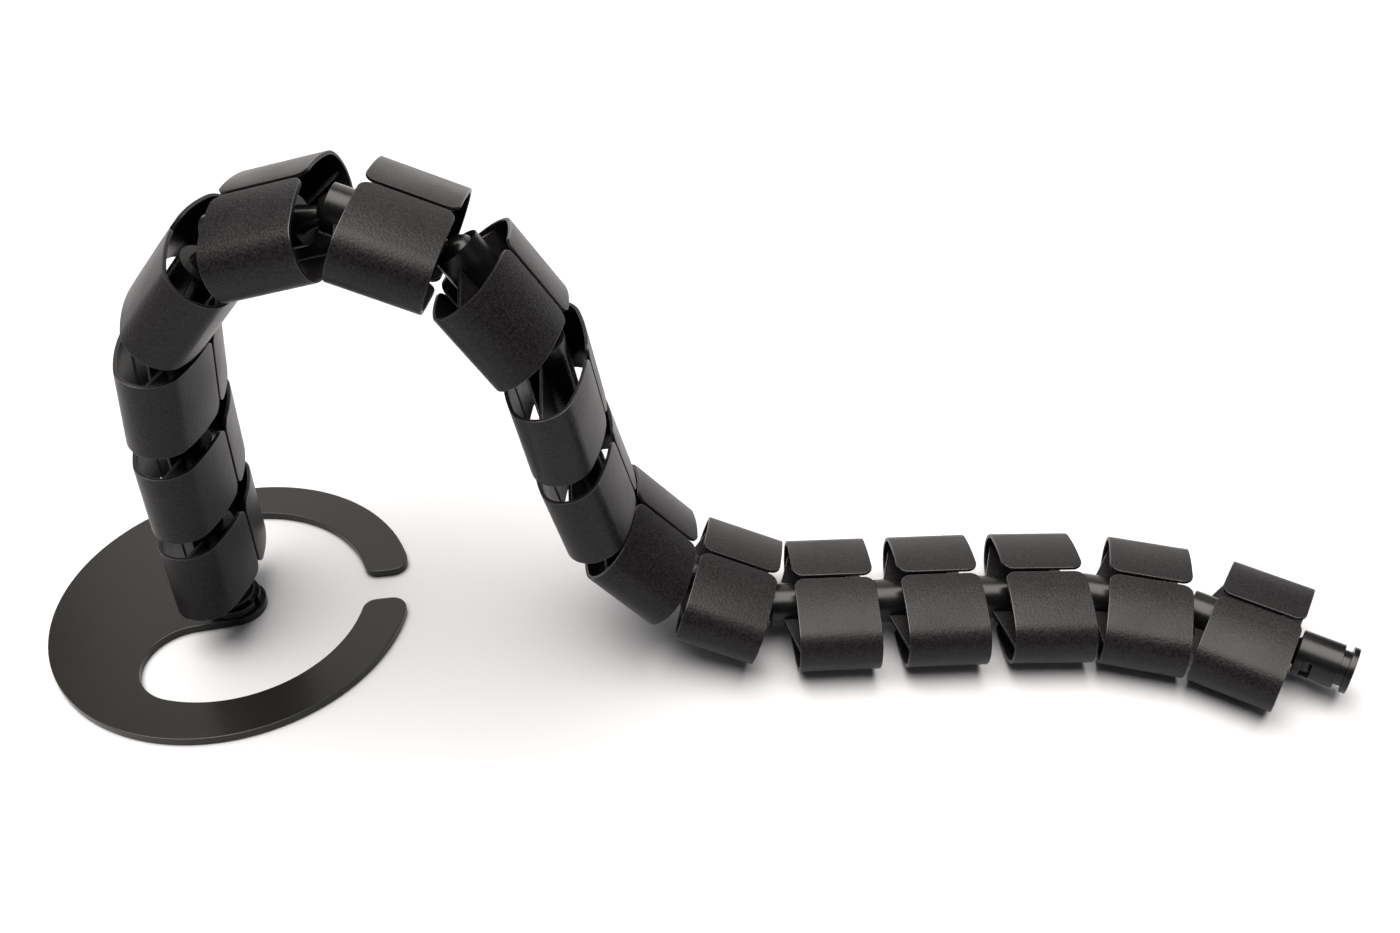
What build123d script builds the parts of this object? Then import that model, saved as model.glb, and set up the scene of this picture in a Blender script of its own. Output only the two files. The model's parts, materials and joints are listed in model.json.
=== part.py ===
from build123d import *
import os
from math import acos, atan2, cos, degrees, hypot, radians, sin, sqrt, tan

# Cable spine: a chain of moulded oval links that snap together ball in socket,
# standing on a round steel foot plate and ending in a tubular desk connector.
# Millimetres. The origin is the middle of the plate's underside, +Z is up and
# +X is the way the spine leads off along the floor.

os.makedirs("parts", exist_ok=True)

# Link: oval section
PITCH = 58.0              # socket centre to ball centre
OVAL_LONG = 88.0
OVAL_SHORT = 42.0
OVAL_TIP_RADIUS = 16.0
SHELL_WALL = 2.0
BEND_LIMIT = 36.87        # bend at which two links' flat sides meet, degrees
SLOT_WIDTH = 2.4          # cable slots along the middle of both flat sides
SLOT_CORNER_RADIUS = 6.0

# Link: central tube, socket, neck and ball
BALL_DIAMETER = 19.0
BALL_CLEARANCE = 0.05     # radial
SOCKET_WALL = 2.45        # tube wall round the ball
MOUTH_REACH = 5.0         # tube mouth ahead of the socket centre
MOUTH_SPARE = 0.7         # radial, mouth past the ball
LIP_REACH = 3.5           # snap lip ahead of the socket centre
NECK_DIAMETER = 9.0
NECK_ROOT_DIAMETER = 14.0
NECK_REACH = 18.0         # neck root behind the ball centre
CORE_DIAMETER = 14.0      # moulding core behind the socket
CORE_FLOOR = 6.0          # solid left between the core and the neck root
WEB_THICKNESS = 2.0
WEB_INSET = 3.0           # web edge inside the shell's ends
WEB_START = 1.0           # web edge at the tube, past the socket centre

# Foot plate
PLATE_DIAMETER = 200.0
PLATE_THICKNESS = 5.0
PLATE_TURN = 9.0          # the gap's direction, degrees from +X
RIM_WIDTH = 25.0          # plate's edge to the opening's circle
LOBE_ANGLE = 68.0         # lobe centre, degrees from the middle of the tongue
TONGUE_TIP_RADIUS = 16.0
TONGUE_TIP_AHEAD = 2.0
TONGUE_FLANK = 23.0       # straight side between the tongue's tip and a lobe
GAP_WIDTH = 22.6
HORN_INNER_RADIUS = 8.0
HORN_OUTER_RADIUS = 9.0

# Foot connector and its screw
COLLAR_DIAMETER = 31.0
COLLAR_HEIGHT = 5.0
DRUM_DIAMETER = 26.0
DRUM_HEIGHT = 3.5
FOOT_NECK_REACH = 11.5    # ball centre above the drum
FOOT_NECK_ROOT_DIAMETER = 10.0
NOTCH_WIDTH = 4.0
NOTCH_DEPTH = 2.0
NOTCH_ANGLE = -15.0
SCREW_DIAMETER = 6.0
SCREW_LENGTH = 15.0
SCREW_HEAD_DIAMETER = 12.0
SCREW_CLEARANCE = 0.1     # radial
HEX_ACROSS_FLATS = 4.0
HEX_DEPTH = 2.0
BORE_SPARE = 1.5          # screw hole past the screw's tip

# Desk connector
BODY_WALL = 2.55          # body's wall round the ball
GROOVE_START = 16.0       # past the ball centre
GROOVE_WIDTH = 4.0
GROOVE_DEPTH = 2.4
RING_STEP = 0.6           # radial, ring past the body
RING_WIDTH = 3.0
END_BORE_WALL = 2.2       # wall left under the groove
END_FLOOR = 2.45          # solid left between the socket and the end bore
KEYWAY_WIDTH = 4.1        # slot along the body
KEYWAY_ANGLE = 48.0       # keyway below the front, degrees
KEYWAY_END = 9.0          # past the ball centre
WINDOW_WIDTH = 5.0        # slot round the body
WINDOW_START = -1.2       # past the ball centre
WINDOW_RISE = 22.0        # top of the window above the front, degrees

# Pose: each link's angle in the arch plane, degrees from straight up,
# and its lean out of that plane
BENDS = [0, 3, 8, 40, 75, 110, 145, 171, 166, 135, 106, 90, 90, 90, 90, 90]
LEANS = [2, -2, -2, 0, -2, -5, -5, 6, 3, -4, -10, 3, 3, 1, -14, -31]
DROP_LINK = 9             # its angle is worked out, to bring the tail to the floor
TAIL_LINK = 11            # first link that lies on the floor

# Sizes that follow from those above
SHELL_SETBACK = OVAL_SHORT / 2 * tan(radians(BEND_LIMIT / 2))
TUBE_RADIUS = BALL_DIAMETER / 2 + BALL_CLEARANCE + SOCKET_WALL
BODY_RADIUS = BALL_DIAMETER / 2 + BALL_CLEARANCE + BODY_WALL
FOOT_BALL_HEIGHT = PLATE_THICKNESS + COLLAR_HEIGHT + DRUM_HEIGHT + FOOT_NECK_REACH


def around(edges):
    """Solid of revolution about Z from the edges of a half section."""
    return revolve(Plane.XZ * make_face(edges), Axis.Z)


def oval(long_axis, short_axis, tip_radius):
    """Face of four tangent arcs: two tips and two flat sides."""
    a = long_axis / 2
    b = short_axis / 2
    centre = a - tip_radius
    side_radius = (b ** 2 + centre ** 2 - tip_radius ** 2) / (2 * (b - tip_radius))
    join = atan2(side_radius - b, centre)
    x = centre + tip_radius * cos(join)
    y = tip_radius * sin(join)
    return make_face([
        ThreePointArc((x, -y), (a, 0), (x, y)),
        ThreePointArc((x, y), (0, b), (-x, y)),
        ThreePointArc((-x, y), (-a, 0), (-x, -y)),
        ThreePointArc((-x, -y), (0, -b), (x, -y)),
    ])


def slot_outline(length):
    """Cable slot that opens into rounded corners at both shell ends."""
    reach = SLOT_WIDTH / 2 + SLOT_CORNER_RADIUS
    past = 1.0
    flare = Pos(0, length / 2) * Rectangle(2 * reach, 2 * SLOT_CORNER_RADIUS)
    for side in (-1, 1):
        corner = Pos(side * reach, length / 2 - SLOT_CORNER_RADIUS)
        flare -= corner * Circle(SLOT_CORNER_RADIUS)
    strip = Rectangle(SLOT_WIDTH, length + past)
    return strip + flare + Rot(0, 0, 180) * flare


def link_shell():
    """Oval shell, split into a front and a back half by the two cable slots."""
    length = PITCH - 2 * SHELL_SETBACK
    outer = oval(OVAL_LONG, OVAL_SHORT, OVAL_TIP_RADIUS)
    inner = oval(
        OVAL_LONG - 2 * SHELL_WALL,
        OVAL_SHORT - 2 * SHELL_WALL,
        OVAL_TIP_RADIUS - SHELL_WALL,
    )
    ring = extrude(outer - inner, amount=length / 2, both=True)
    slots = extrude(Plane.XZ * slot_outline(length), amount=OVAL_SHORT, both=True)
    return Pos(0, 0, PITCH / 2) * (ring - slots)


def link_webs():
    """Flat webs from the tube to the front and back shells."""
    root = TUBE_RADIUS - SHELL_WALL / 2
    tip = OVAL_LONG / 2 - SHELL_WALL / 2
    low = SHELL_SETBACK + WEB_INSET
    high = PITCH - SHELL_SETBACK - WEB_INSET
    root_top = PITCH - NECK_REACH - WEB_INSET
    outline = Polyline(
        (root, WEB_START), (tip, low), (tip, high), (root, root_top), close=True
    )
    web = extrude(
        Plane.XZ * make_face(outline.edges()), amount=WEB_THICKNESS / 2, both=True
    )
    return web, Rot(0, 0, 180) * web


def socket_edges(body_radius):
    """Half section of a socket: from the core's mouth round to the outside."""
    cavity = BALL_DIAMETER / 2 + BALL_CLEARANCE
    core = CORE_DIAMETER / 2
    mouth = BALL_DIAMETER / 2 + MOUTH_SPARE
    lip = sqrt(cavity ** 2 - LIP_REACH ** 2)
    seat = sqrt(cavity ** 2 - core ** 2)
    return [
        ThreePointArc((core, seat), (cavity, 0), (lip, -LIP_REACH)),
        Line((lip, -LIP_REACH), (mouth, -MOUTH_REACH)),
        Line((mouth, -MOUTH_REACH), (body_radius, -MOUTH_REACH)),
    ], (core, seat)


def link_core():
    """Tube with the socket at its mouth, the neck and the ball."""
    radius = TUBE_RADIUS
    socket, seat = socket_edges(radius)
    shoulder = PITCH - NECK_REACH
    core_end = shoulder - CORE_FLOOR
    ball = BALL_DIAMETER / 2
    neck = NECK_DIAMETER / 2
    join = PITCH - sqrt(ball ** 2 - neck ** 2)
    return around(socket + [
        Line((radius, -MOUTH_REACH), (radius, shoulder)),
        Line((radius, shoulder), (NECK_ROOT_DIAMETER / 2, shoulder)),
        Line((NECK_ROOT_DIAMETER / 2, shoulder), (neck, join)),
        ThreePointArc((neck, join), (ball, PITCH), (0, PITCH + ball)),
        Line((0, PITCH + ball), (0, core_end)),
        Line((0, core_end), (CORE_DIAMETER / 2, core_end)),
        Line((CORE_DIAMETER / 2, core_end), seat),
    ])


def make_link():
    """One moulding: shells, webs, tube, socket and ball."""
    front_web, back_web = link_webs()
    return link_core() + link_shell() + front_web + back_web


def lobe_radius(angle):
    """Radius that touches the opening's circle and leaves the tongue's flanks straight."""
    opening = PLATE_DIAMETER / 2 - RIM_WIDTH
    ahead = TONGUE_TIP_AHEAD * cos(angle)
    room = opening ** 2 - 2 * opening * ahead + TONGUE_TIP_AHEAD ** 2
    room -= TONGUE_TIP_RADIUS ** 2 + TONGUE_FLANK ** 2
    return room / (2 * (opening + TONGUE_TIP_RADIUS - ahead))


def tongue_outline():
    """What stays of the plate inside the opening's circle."""
    angle = radians(180 - LOBE_ANGLE)
    radius = lobe_radius(angle)
    reach = PLATE_DIAMETER / 2 - RIM_WIDTH - radius
    lobe = (reach * cos(angle), reach * sin(angle))
    span = hypot(lobe[0] - TONGUE_TIP_AHEAD, lobe[1])
    turn = atan2(lobe[1], lobe[0] - TONGUE_TIP_AHEAD)
    turn -= acos((radius + TONGUE_TIP_RADIUS) / span)
    on_tip = (
        TONGUE_TIP_AHEAD + TONGUE_TIP_RADIUS * cos(turn),
        TONGUE_TIP_RADIUS * sin(turn),
    )
    on_lobe = (lobe[0] - radius * cos(turn), lobe[1] - radius * sin(turn))
    far = PLATE_DIAMETER
    upper = [on_tip, on_lobe, lobe, (far * cos(angle), far * sin(angle)), (-far, far)]
    lower = [(x, -y) for x, y in reversed(upper)]
    outline = Polyline(*upper, *lower, close=True)
    keep = make_face(outline.edges()) + Pos(TONGUE_TIP_AHEAD, 0) * Circle(TONGUE_TIP_RADIUS)
    for side in (-1, 1):
        keep -= Pos(lobe[0], side * lobe[1]) * Circle(radius)
    return keep


def gap_edges(plate):
    """Upright edges along both sides of the gap, from the middle outwards."""
    edges = plate.edges().filter_by(Axis.Z).sort_by(Axis.X)
    return edges.filter_by(lambda e: abs(abs(e.center().Y) - GAP_WIDTH / 2) < 0.01)


def make_plate():
    """Round weight plate with the wrap-round cable opening and its gap."""
    outer = PLATE_DIAMETER / 2
    opening = Circle(outer - RIM_WIDTH) - tongue_outline()
    gap = Pos(outer, 0) * Rectangle(PLATE_DIAMETER / 2, GAP_WIDTH)
    plate = extrude(Circle(outer) - opening - gap, amount=PLATE_THICKNESS)
    plate = fillet(gap_edges(plate)[-2:], HORN_OUTER_RADIUS)
    plate = fillet(gap_edges(plate)[:2], HORN_INNER_RADIUS)
    plate -= screw_shape(SCREW_CLEARANCE)
    return Rot(0, 0, PLATE_TURN) * plate


def screw_shape(spare):
    """Countersunk screw from below, grown by spare all round its shank."""
    shank = SCREW_DIAMETER / 2 + spare
    head = SCREW_HEAD_DIAMETER / 2
    tip = SCREW_LENGTH
    outline = Polyline(
        (0, 0), (head, 0), (shank, head - shank), (shank, tip), (0, tip), close=True
    )
    return around(outline.edges())


def make_screw():
    """Countersunk screw with a hexagon socket."""
    hexagon = RegularPolygon(HEX_ACROSS_FLATS / 2, 6, major_radius=False)
    return screw_shape(0) - extrude(hexagon, amount=HEX_DEPTH)


def make_foot():
    """Collar and drum that carry the first ball, held by the screw."""
    ball = BALL_DIAMETER / 2
    neck = NECK_DIAMETER / 2
    base = PLATE_THICKNESS
    step = base + COLLAR_HEIGHT
    top = step + DRUM_HEIGHT
    bore = SCREW_DIAMETER / 2 + SCREW_CLEARANCE
    bore_end = SCREW_LENGTH + BORE_SPARE
    join = FOOT_BALL_HEIGHT - sqrt(ball ** 2 - neck ** 2)
    crown = FOOT_BALL_HEIGHT + ball
    foot = around([
        Line((bore, base), (COLLAR_DIAMETER / 2, base)),
        Line((COLLAR_DIAMETER / 2, base), (COLLAR_DIAMETER / 2, step)),
        Line((COLLAR_DIAMETER / 2, step), (DRUM_DIAMETER / 2, step)),
        Line((DRUM_DIAMETER / 2, step), (DRUM_DIAMETER / 2, top)),
        Line((DRUM_DIAMETER / 2, top), (FOOT_NECK_ROOT_DIAMETER / 2, top)),
        Line((FOOT_NECK_ROOT_DIAMETER / 2, top), (neck, join)),
        ThreePointArc((neck, join), (ball, FOOT_BALL_HEIGHT), (0, crown)),
        Line((0, crown), (0, bore_end)),
        Line((0, bore_end), (bore, bore_end)),
        Line((bore, bore_end), (bore, base)),
    ])
    notch = Box(
        2 * NOTCH_DEPTH, NOTCH_WIDTH, COLLAR_HEIGHT,
        align=(Align.CENTER, Align.CENTER, Align.MIN),
    )
    notch = Pos(COLLAR_DIAMETER / 2, 0, base) * notch
    return foot - Rot(0, 0, NOTCH_ANGLE) * notch


def make_end():
    """Desk connector: socket, slotted body, groove and end ring."""
    radius = BODY_RADIUS
    groove = radius - GROOVE_DEPTH
    ring = radius + RING_STEP
    bore = groove - END_BORE_WALL
    groove_end = GROOVE_START + GROOVE_WIDTH
    end = groove_end + RING_WIDTH
    cavity = BALL_DIAMETER / 2 + BALL_CLEARANCE
    floor = cavity + END_FLOOR
    socket, _ = socket_edges(radius)
    lip = sqrt(cavity ** 2 - LIP_REACH ** 2)
    dome = ThreePointArc((0, cavity), (cavity * sin(1), cavity * cos(1)), (lip, -LIP_REACH))
    body = around([dome] + socket[1:] + [
        Line((radius, -MOUTH_REACH), (radius, GROOVE_START)),
        Line((radius, GROOVE_START), (groove, GROOVE_START)),
        Line((groove, GROOVE_START), (groove, groove_end)),
        Line((groove, groove_end), (ring, groove_end)),
        Line((ring, groove_end), (ring, end)),
        Line((ring, end), (bore, end)),
        Line((bore, end), (bore, floor)),
        Line((bore, floor), (0, floor)),
        Line((0, floor), (0, cavity)),
    ])
    return body - keyway() - window()


def keyway():
    """Slot along the desk connector's body, open at the mouth, round at the end."""
    length = KEYWAY_END + MOUTH_REACH - KEYWAY_WIDTH / 2
    outline = Pos(0, -MOUTH_REACH + length / 2) * Rectangle(KEYWAY_WIDTH, length)
    outline += Pos(0, KEYWAY_END - KEYWAY_WIDTH / 2) * Circle(KEYWAY_WIDTH / 2)
    cutter = extrude(Plane.YZ * outline, amount=2 * BODY_RADIUS)
    return Rot(0, 0, KEYWAY_ANGLE) * cutter


def window():
    """Slot round the body, from above the front down to the keyway."""
    sweep = WINDOW_RISE + KEYWAY_ANGLE
    half = Pos(BODY_RADIUS, WINDOW_START + WINDOW_WIDTH / 2)
    section = Plane.XZ * (half * Rectangle(BODY_RADIUS, WINDOW_WIDTH))
    return Rot(0, 0, -WINDOW_RISE) * revolve(section, Axis.Z, sweep)


def drop_bend():
    """Angle of the drop link that brings the tail's flat side to the floor."""
    fall = (OVAL_SHORT / 2 - FOOT_BALL_HEIGHT) / PITCH
    for i in range(TAIL_LINK):
        if i != DROP_LINK:
            fall -= cos(radians(BENDS[i])) * cos(radians(LEANS[i]))
    return degrees(acos(fall / cos(radians(LEANS[DROP_LINK]))))


def link_planes():
    """Each link's frame: Z along the chain, X to the front along the oval."""
    planes = []
    centre = Vector(0, 0, FOOT_BALL_HEIGHT)
    for i, (bend, lean) in enumerate(zip(BENDS, LEANS)):
        b = radians(drop_bend() if i == DROP_LINK else bend)
        s = radians(lean)
        along = Vector(cos(s) * sin(b), sin(s), cos(s) * cos(b))
        outer = Vector(-cos(b), 0, sin(b))
        planes.append(Plane(origin=centre, x_dir=along.cross(outer), z_dir=along))
        centre = centre + along * PITCH
    last = planes[-1]
    planes.append(Plane(origin=centre, x_dir=last.x_dir, z_dir=last.z_dir))
    return planes


def save(shape, name, colour):
    """Write one node."""
    shape = Solid(shape.solids()[0].wrapped)
    shape.label = name
    shape.color = colour
    export_step(shape, f"parts/{name}.step")


BLACK_PLASTIC = Color(0.05, 0.05, 0.05)
BLACK_STEEL = Color(0.08, 0.08, 0.08)
ZINC = Color(0.6, 0.6, 0.6)

save(make_plate(), "foot_plate", BLACK_STEEL)
save(make_foot(), "foot_connector", BLACK_PLASTIC)
save(make_screw(), "foot_screw", ZINC)

link = make_link()
planes = link_planes()
for number, plane in enumerate(planes[:-1], start=1):
    save(plane.location * link, f"link_{number:02d}", BLACK_PLASTIC)
save(planes[-1].location * make_end(), "desk_connector", BLACK_PLASTIC)
print("drop link", round(drop_bend(), 2), "tail", planes[TAIL_LINK].origin)
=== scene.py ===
# %% [markdown]
# A cable spine hides the cables between a desk and the floor. Equal black mouldings snap together,
# ball in socket, and stand on a flat steel plate. This lesson takes the designed solids as its frame
# and gives them what a photograph shows and a solid doesn't: rounded edges that catch the light, the
# grain of the mould, a glossy tube inside a matt shell, and powder coat on the steel.

# %% Load the frame
import json
from math import radians

import bmesh
import bpy
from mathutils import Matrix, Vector


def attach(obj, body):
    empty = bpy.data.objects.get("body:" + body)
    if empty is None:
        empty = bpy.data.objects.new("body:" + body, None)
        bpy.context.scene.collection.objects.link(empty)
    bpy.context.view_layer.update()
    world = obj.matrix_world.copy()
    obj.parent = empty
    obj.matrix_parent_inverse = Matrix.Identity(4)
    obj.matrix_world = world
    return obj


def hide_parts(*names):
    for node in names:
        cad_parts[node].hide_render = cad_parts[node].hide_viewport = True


MM = 0.001
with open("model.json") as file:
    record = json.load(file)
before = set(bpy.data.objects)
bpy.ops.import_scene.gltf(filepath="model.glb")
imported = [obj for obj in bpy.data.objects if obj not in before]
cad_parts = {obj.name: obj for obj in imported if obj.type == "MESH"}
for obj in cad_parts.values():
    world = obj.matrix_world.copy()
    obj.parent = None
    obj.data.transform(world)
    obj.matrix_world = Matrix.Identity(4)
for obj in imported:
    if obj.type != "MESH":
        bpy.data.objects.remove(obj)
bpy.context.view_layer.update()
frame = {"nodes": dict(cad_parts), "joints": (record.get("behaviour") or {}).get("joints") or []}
bpy.ops.object.select_all(action="DESELECT")
bpy.context.view_layer.objects.active = None

# %% [markdown]
# The camera stands in front of the object's middle and looks down by about forty degrees. Its place
# and focal length were worked out once from the outlines of the plate and the links. A camera in
# Blender looks down its own -Z, so it is turned up from straight down by the rest of the angle.

# %% Camera
CAMERA_PLACE = (267.01 * MM, -538.68 * MM, 554.32 * MM)
LOOK_DOWN = 39.84         # degrees below the horizon
FOCAL_LENGTH = 34.36      # mm
SENSOR_WIDTH = 36.0       # mm


def add_camera():
    """Camera at the photograph's viewing angle."""
    data = bpy.data.cameras.new("photo_camera")
    data.lens = FOCAL_LENGTH
    data.sensor_width = SENSOR_WIDTH
    data.dof.use_dof = False
    camera = bpy.data.objects.new("photo_camera", data)
    camera.location = CAMERA_PLACE
    camera.rotation_euler = (radians(90 - LOOK_DOWN), 0, 0)
    bpy.context.scene.collection.objects.link(camera)
    bpy.context.scene.camera = camera
    return camera


print("camera", [round(v, 3) for v in add_camera().location])

# %% [markdown]
# Colours are easiest to compare with a photograph as sRGB hex values, but shaders add light, so they
# need linear values. One function turns the one into the other.

# %% Colours
HEX_PAIRS = (1, 3, 5)     # where red, green and blue start in "#rrggbb"


def linear(hex_colour):
    """Linear RGBA of an sRGB hex value."""
    channels = [int(hex_colour[i:i + 2], 16) / 255 for i in HEX_PAIRS]
    return [c / 12.92 if c <= 0.04045 else ((c + 0.055) / 1.055) ** 2.4 for c in channels] + [1.0]


print("mid grey in linear light", round(linear("#808080")[0], 3))

# %% [markdown]
# A material could be wired up by hand, node after node. Here one small function adds any shader
# node, sets its inputs by name or number and links what feeds it, so that a material reads as a list
# of its layers. Patterns sit on Object coordinates: they are in metres, and they stay on the surface
# when a link moves.

# %% Nodes
NOISE_LOW, NOISE_HIGH = 0.3, 0.7      # a noise texture seldom leaves this band


def add_node(tree, kind, values=None, links=None, **settings):
    """Add a shader node with its settings, input values and input links."""
    node = tree.nodes.new(kind)
    for name, value in settings.items():
        setattr(node, name, value)
    for name, value in (values or {}).items():
        node.inputs[name].default_value = value
    for name, source in (links or {}).items():
        tree.links.new(source, node.inputs[name])
    return node


def new_material(name):
    """Empty material with its shader and the place of each point on the object."""
    material = bpy.data.materials.new(name)
    material.use_nodes = True
    tree = material.node_tree
    shader = tree.nodes["Principled BSDF"]
    place = add_node(tree, "ShaderNodeTexCoord").outputs["Object"]
    return material, tree, shader, place


print("noise is read from", NOISE_LOW, "to", NOISE_HIGH)

# %% [markdown]
# The links are injection-moulded ABS. Their outside comes from a spark-eroded mould, which leaves a
# fine even grain: it spreads the highlight into a soft band and makes it sparkle slightly. The real
# grain is about a third of a millimetre, too fine for one pixel here, so it is drawn about a
# millimetre wide. Its pits are darker than its crests, and swallow part of the gloss, so the specular
# level is below that of smooth ABS. Slow cloudy changes of roughness, a few centimetres across, are
# the flow of the plastic. A picture of grain would need a seam on every link, and noise doesn't.

# %% Moulded ABS
GRAIN = 1.1 * MM          # from crest to crest
PIT, CREST = 0.35, 0.65   # the speckle's values at which the colour is all pit and all crest
GRAIN_RELIEF = 0.7
SPARKLE = 0.10            # how much rougher the crests are than the pits
FLOW = 30 * MM            # width of a flow mark
FLOW_SHINE = 0.09         # how much less rough the glossiest flow marks are
FLOW_DULL = 0.01          # and how much rougher the dullest ones are
ABS_IOR = 1.53


def moulded_abs(name, pit_colour, crest_colour, roughness, gloss, grain_depth):
    """Black ABS: a fine grain of darker pits, and slow flow marks."""
    material, tree, shader, place = new_material(name)
    speckle = add_node(
        tree, "ShaderNodeTexNoise", {"Scale": 1 / GRAIN, "Detail": 2.0}, {"Vector": place}
    ).outputs["Fac"]
    crests = add_node(
        tree, "ShaderNodeMapRange", {"From Min": PIT, "From Max": CREST}, {"Value": speckle}
    ).outputs["Result"]
    # A colour mix has its factor in socket 0, its colours in 6 and 7, and its result in output 2.
    colour = add_node(
        tree, "ShaderNodeMix", {6: linear(pit_colour), 7: linear(crest_colour)}, {0: crests},
        data_type="RGBA",
    ).outputs[2]
    flow = add_node(
        tree, "ShaderNodeTexNoise", {"Scale": 1 / FLOW, "Detail": 2.0}, {"Vector": place}
    ).outputs["Fac"]
    spread = add_node(
        tree, "ShaderNodeMapRange",
        {
            "From Min": NOISE_LOW, "From Max": NOISE_HIGH,
            "To Min": roughness - FLOW_SHINE, "To Max": roughness + FLOW_DULL,
        },
        {"Value": flow},
    ).outputs["Result"]
    sparkle = add_node(
        tree, "ShaderNodeMath", {1: SPARKLE}, {0: speckle}, operation="MULTIPLY"
    ).outputs["Value"]
    rough = add_node(
        tree, "ShaderNodeMath", links={0: spread, 1: sparkle}, operation="ADD"
    ).outputs["Value"]
    bump = add_node(
        tree, "ShaderNodeBump", {"Strength": GRAIN_RELIEF, "Distance": grain_depth},
        {"Height": speckle},
    ).outputs["Normal"]
    tree.links.new(colour, shader.inputs["Base Color"])
    tree.links.new(rough, shader.inputs["Roughness"])
    tree.links.new(bump, shader.inputs["Normal"])
    shader.inputs["IOR"].default_value = ABS_IOR
    shader.inputs["Specular IOR Level"].default_value = gloss
    return material


shell_abs = moulded_abs(
    "ABS moulded in a spark-eroded tool", pit_colour="#080708", crest_colour="#1d1b1c",
    roughness=0.36, gloss=0.165, grain_depth=0.22 * MM,
)
core_abs = moulded_abs(
    "ABS moulded in a polished tool", pit_colour="#090909", crest_colour="#0b0b0b",
    roughness=0.28, gloss=0.26, grain_depth=0.01 * MM,
)
# The edge finish's lower roughness and higher gloss are real wear from handling; its colour, lighter
# than the shell's, is a painted highlight along each rounded edge.
rubbed_edge_painted_highlight = moulded_abs(
    "ABS edge rubbed smooth, painted lighter as a highlight", pit_colour="#191818", crest_colour="#1e1d1c",
    roughness=0.30, gloss=0.40, grain_depth=0.02 * MM,
)
print("materials", shell_abs.name, "and", core_abs.name, "and", rubbed_edge_painted_highlight.name)

# %% [markdown]
# The foot plate is cut from 5 mm steel and powder coated. Baked powder flows into a skin that is flat
# from afar and slightly pebbled close by, like orange peel, a millimetre or two from crest to crest.
# It is a coating, so it behaves as a plastic and not as a metal.

# %% Powder coat
PEEL = 1.6 * MM           # from crest to crest
PEEL_DEPTH = 0.10 * MM
PEEL_RELIEF = 0.3
HAZE = 60 * MM            # width of a duller patch
HAZE_ROUGHNESS = (0.20, 0.25)
POWDER_IOR = 1.5
POWDER_GLOSS = 0.28


def powder_coat():
    """Black baked powder over steel, with orange peel."""
    material, tree, shader, place = new_material("Powder-coated steel")
    peel = add_node(
        tree, "ShaderNodeTexNoise", {"Scale": 1 / PEEL, "Detail": 1.0}, {"Vector": place}
    ).outputs["Fac"]
    haze = add_node(
        tree, "ShaderNodeTexNoise", {"Scale": 1 / HAZE, "Detail": 1.0}, {"Vector": place}
    ).outputs["Fac"]
    rough = add_node(
        tree, "ShaderNodeMapRange",
        {
            "From Min": NOISE_LOW, "From Max": NOISE_HIGH,
            "To Min": HAZE_ROUGHNESS[0], "To Max": HAZE_ROUGHNESS[1],
        },
        {"Value": haze},
    ).outputs["Result"]
    bump = add_node(
        tree, "ShaderNodeBump", {"Strength": PEEL_RELIEF, "Distance": PEEL_DEPTH},
        {"Height": peel},
    ).outputs["Normal"]
    tree.links.new(rough, shader.inputs["Roughness"])
    tree.links.new(bump, shader.inputs["Normal"])
    shader.inputs["Base Color"].default_value = linear("#171614")
    shader.inputs["IOR"].default_value = POWDER_IOR
    shader.inputs["Specular IOR Level"].default_value = POWDER_GLOSS
    return material


coated_steel = powder_coat()
print("material", coated_steel.name)

# %% [markdown]
# The screw that holds the foot is zinc-plated steel: a metal, so its colour is the colour of its
# reflection, with a roughness that changes a little where the plating is duller.

# %% Zinc plating
PLATING_PATCH = 2 * MM    # width of a duller patch
PLATING_ROUGHNESS = (0.25, 0.45)


def zinc_plating():
    """Zinc-plated steel with slightly uneven dullness."""
    material, tree, shader, place = new_material("Zinc-plated steel")
    patches = add_node(
        tree, "ShaderNodeTexNoise", {"Scale": 1 / PLATING_PATCH, "Detail": 3.0}, {"Vector": place}
    ).outputs["Fac"]
    rough = add_node(
        tree, "ShaderNodeMapRange",
        {"To Min": PLATING_ROUGHNESS[0], "To Max": PLATING_ROUGHNESS[1]}, {"Value": patches},
    ).outputs["Result"]
    tree.links.new(rough, shader.inputs["Roughness"])
    shader.inputs["Base Color"].default_value = linear("#b9bab6")
    shader.inputs["Metallic"].default_value = 1.0
    return material


plated_steel = zinc_plating()
print("material", plated_steel.name)

# %% [markdown]
# To round a piece, it is shaped in edit mode and then shaded. Smooth shading alone would make flat
# faces look bent beside a small rounding, so the large faces lead: a weighted normal keeps them flat
# and lets the rounding take all of the turn.

# %% In and out of edit mode
SHARP = radians(30)       # a steeper edge is a real edge and not part of a curve


def edit(obj):
    """Make an object the only one that operators act on, in edit mode with nothing selected."""
    bpy.ops.object.select_all(action="DESELECT")
    bpy.context.view_layer.objects.active = obj
    obj.select_set(True)
    bpy.ops.object.mode_set(mode="EDIT")
    bpy.ops.mesh.select_mode(type="EDGE")
    bpy.ops.mesh.select_all(action="DESELECT")


def leave(obj):
    """Back to object mode, smooth up to the sharp edges, with the large faces left flat."""
    bpy.ops.object.mode_set(mode="OBJECT")
    bpy.ops.object.shade_smooth_by_angle(angle=SHARP)
    weighted = obj.modifiers.new("large_faces_lead", "WEIGHTED_NORMAL")
    weighted.keep_sharp = True
    bpy.ops.object.modifier_apply(modifier=weighted.name)
    obj.select_set(False)


print("edges are sharp from", round(SHARP, 3), "radians")
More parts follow.
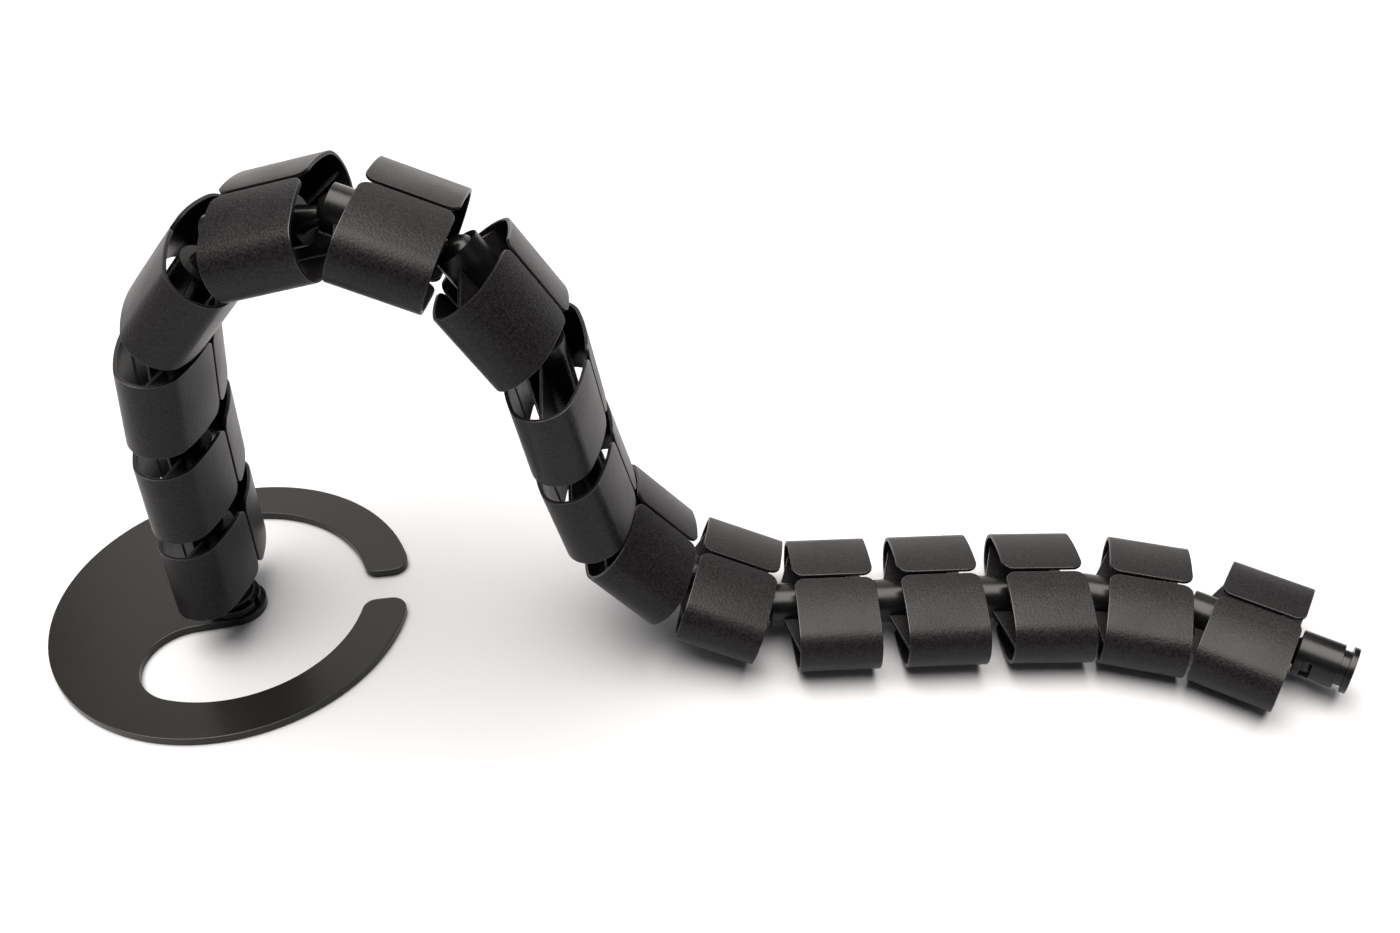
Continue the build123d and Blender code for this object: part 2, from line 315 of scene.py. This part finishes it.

# %% [markdown]
# A moulded or cut edge is never perfectly sharp, and the thin bright line along each shell's end in
# the photograph is that small radius catching the light. Each solid's mesh is copied, because the
# frame's own meshes stay as they are. Its loose triangles are merged, flat areas are dissolved into
# single faces, and the outer sharp edges are bevelled by a fraction of the wall. A Bevel modifier
# would also spend faces on the inner corners, deep in the hollows, where no light catches them. The
# bevelled faces take the last of the materials, which on the mouldings has a lighter colour: a
# painted highlight along the edge.

# %% Rounded copies of the solids
SAME_POINT = 0.002 * MM
FLAT = radians(0.5)
BEVEL_STEPS = 2
ROUND = 0.5               # profile of a quarter circle


def rounded_copy(node, name, radius, materials):
    """Copy of a node's solid with its outer sharp edges rounded, in the last of the materials."""
    mesh = frame["nodes"][node].data.copy()
    mesh.materials.clear()
    for material in materials:
        mesh.materials.append(material)
    piece = bpy.data.objects.new(name, mesh)
    bpy.context.scene.collection.objects.link(piece)
    edit(piece)
    bpy.ops.mesh.select_all(action="SELECT")
    bpy.ops.mesh.customdata_custom_splitnormals_clear()
    bpy.ops.mesh.remove_doubles(threshold=SAME_POINT)
    bpy.ops.mesh.dissolve_limited(angle_limit=FLAT)
    bpy.ops.mesh.select_all(action="DESELECT")
    edges = bmesh.from_edit_mesh(mesh).edges
    for edge in edges:
        if len(edge.link_faces) == 2 and edge.is_convex and edge.calc_face_angle() > SHARP:
            edge.select_set(True)
    bmesh.update_edit_mesh(mesh)
    bpy.ops.mesh.bevel(
        offset=radius, segments=BEVEL_STEPS, profile=ROUND, clamp_overlap=False,
        material=len(materials) - 1,
    )
    leave(piece)
    return piece


print("faces within", round(FLAT, 4), "radians are one flat area")

# %% [markdown]
# A link is one moulding, but its outside and its core come from different parts of the mould: the
# shells and webs are grained, the tube, neck and ball are polished so that the joint turns easily.
# Both finishes are on one mesh, so each face takes its material by how far it lies from the link's
# axis, the line between the joints at its two ends. Cutting the mesh in two would leave a seam.

# %% Links
LINK_EDGE = 0.45 * MM
TUBE_RADIUS = 12.0 * MM
TUBE_SLACK = 0.1 * MM     # for corners that lie on the tube itself
LINKS = 16
# The last finish goes on the rounded edges; its lighter colour is a painted highlight.
LINK_FINISHES = [shell_abs, core_abs, rubbed_edge_painted_highlight]
joint_places = {joint["child"]: Vector(joint["pos_m"]) for joint in frame["joints"]}


def near_axis(corners, start, along):
    """Is the whole face within the tube's radius of the link's axis?"""
    for corner in corners:
        offset = corner - start
        if (offset - along * offset.dot(along)).length > TUBE_RADIUS + TUBE_SLACK:
            return False
    return True


def make_link(number):
    """One moulded link with its grained shells and polished core."""
    node = f"link_{number:02d}"
    after = f"link_{number + 1:02d}" if number < LINKS else "desk_connector"
    piece = rounded_copy(node, f"{node}_moulding", LINK_EDGE, LINK_FINISHES)
    start = joint_places[node]
    along = (joint_places[after] - start).normalized()
    for face in piece.data.polygons:
        corners = [piece.data.vertices[v].co for v in face.vertices]
        if near_axis(corners, start, along):
            face.material_index = LINK_FINISHES.index(core_abs)
    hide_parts(node)
    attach(piece, node)
    return piece


links = [make_link(number) for number in range(1, LINKS + 1)]
print("links", len(links), "faces each", len(links[0].data.polygons))

# %% [markdown]
# The collar under the first ball and the desk connector are round mouldings from polished tools. The
# plate's edges are broken by the cutting and softened by the powder. The screw is hidden underneath.
# Each keeps its solid's shape and takes the rounding that its making leaves.

# %% Foot and desk connector
PLATE_EDGE = 0.6 * MM
COLLAR_EDGE = 0.4 * MM
SCREW_EDGE = 0.15 * MM
CONNECTOR_EDGE = 0.3 * MM
# The last finish goes on the rounded edges; its lighter colour is a painted highlight.
SMOOTH_FINISHES = [core_abs, rubbed_edge_painted_highlight]


def make_part(node, name, radius, materials, body):
    """Rounded copy of one node, with its edges in the last of the finishes."""
    piece = rounded_copy(node, name, radius, materials)
    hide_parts(node)
    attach(piece, body)
    print(name, "faces", len(piece.data.polygons))


make_part("foot_plate", "foot_plate_coated", PLATE_EDGE, [coated_steel], "base")
make_part(
    "foot_connector", "foot_collar_moulding", COLLAR_EDGE, SMOOTH_FINISHES, "base"
)
make_part("foot_screw", "foot_screw_plated", SCREW_EDGE, [plated_steel], "base")
make_part(
    "desk_connector", "desk_connector_moulding", CONNECTOR_EDGE, SMOOTH_FINISHES,
    "desk_connector",
)

# %% [markdown]
# The photograph's floor is plain white. A light grey sheet under strong light shows as white too, and
# throws less light back under the links than a white one would. It is far wider than the picture, so
# that its edge is a level line from low angles, and it lies a hair under the plate.

# %% Floor
FLOOR_DROP = 0.2 * MM
FLOOR_SIZE = 60.0         # metres


def add_floor():
    """Plain pale floor, just under what stands on it."""
    bpy.ops.mesh.primitive_plane_add(size=FLOOR_SIZE, location=(0, 0, -FLOOR_DROP))
    floor = bpy.context.object
    floor.name = "studio_floor"
    material, _, shader, _ = new_material("Matt light grey paper")
    shader.inputs["Base Color"].default_value = linear("#b9babd")
    shader.inputs["Roughness"].default_value = 0.9
    floor.data.materials.append(material)
    floor.select_set(False)
    return floor


print("floor", add_floor().dimensions[0], "metres wide")

# %% [markdown]
# The photograph was taken under a bank of large soft lights, with a white wall behind the object and
# a dark room in front of it. That is what makes the tops warm grey and the fronts nearly black. The
# bank is a sun lamp with a very wide angle, so that it lights the whole floor alike and its
# reflection is as broad as the real one. The wall is one large area lamp. A weak softbox at the front
# right keeps the ends that face it from going black, and a faint surround does so in the hollows.

# %% Light
MIDDLE = (0.3, 0, 0.05)   # what the lamps face
BANK_ANGLE = radians(60)
WALL_SIZE = 3.4           # metres
SOFTBOX_SIZE = 0.9        # metres


def add_light(name, kind, place, power, colour):
    """Lamp of one kind that faces the middle of the object."""
    data = bpy.data.lights.new(name, kind)
    data.energy = power
    data.color = linear(colour)[:3]
    light = bpy.data.objects.new(name, data)
    light.location = place
    light.rotation_euler = (Vector(MIDDLE) - Vector(place)).to_track_quat("-Z", "Y").to_euler()
    bpy.context.scene.collection.objects.link(light)
    return data


def add_surround(colour, strength):
    """Even light from all round."""
    world = bpy.data.worlds.new("studio_surround")
    world.use_nodes = True
    background = world.node_tree.nodes["Background"]
    background.inputs["Color"].default_value = linear(colour)
    background.inputs["Strength"].default_value = strength
    bpy.context.scene.world = world


bank = add_light("ceiling_bank", "SUN", (0.12, 0.0, 1.5), power=7.4, colour="#fffaf4")
bank.angle = BANK_ANGLE
wall = add_light("white_wall", "AREA", (0.2, 2.6, 1.0), power=50, colour="#fffdf7")
wall.size = WALL_SIZE
softbox = add_light("softbox_front_right", "AREA", (1.5, -0.9, 0.9), power=1.0, colour="#fff6ea")
softbox.size = SOFTBOX_SIZE
add_surround("#f4f2ff", strength=0.10)
bpy.context.scene.view_settings.view_transform = "Standard"
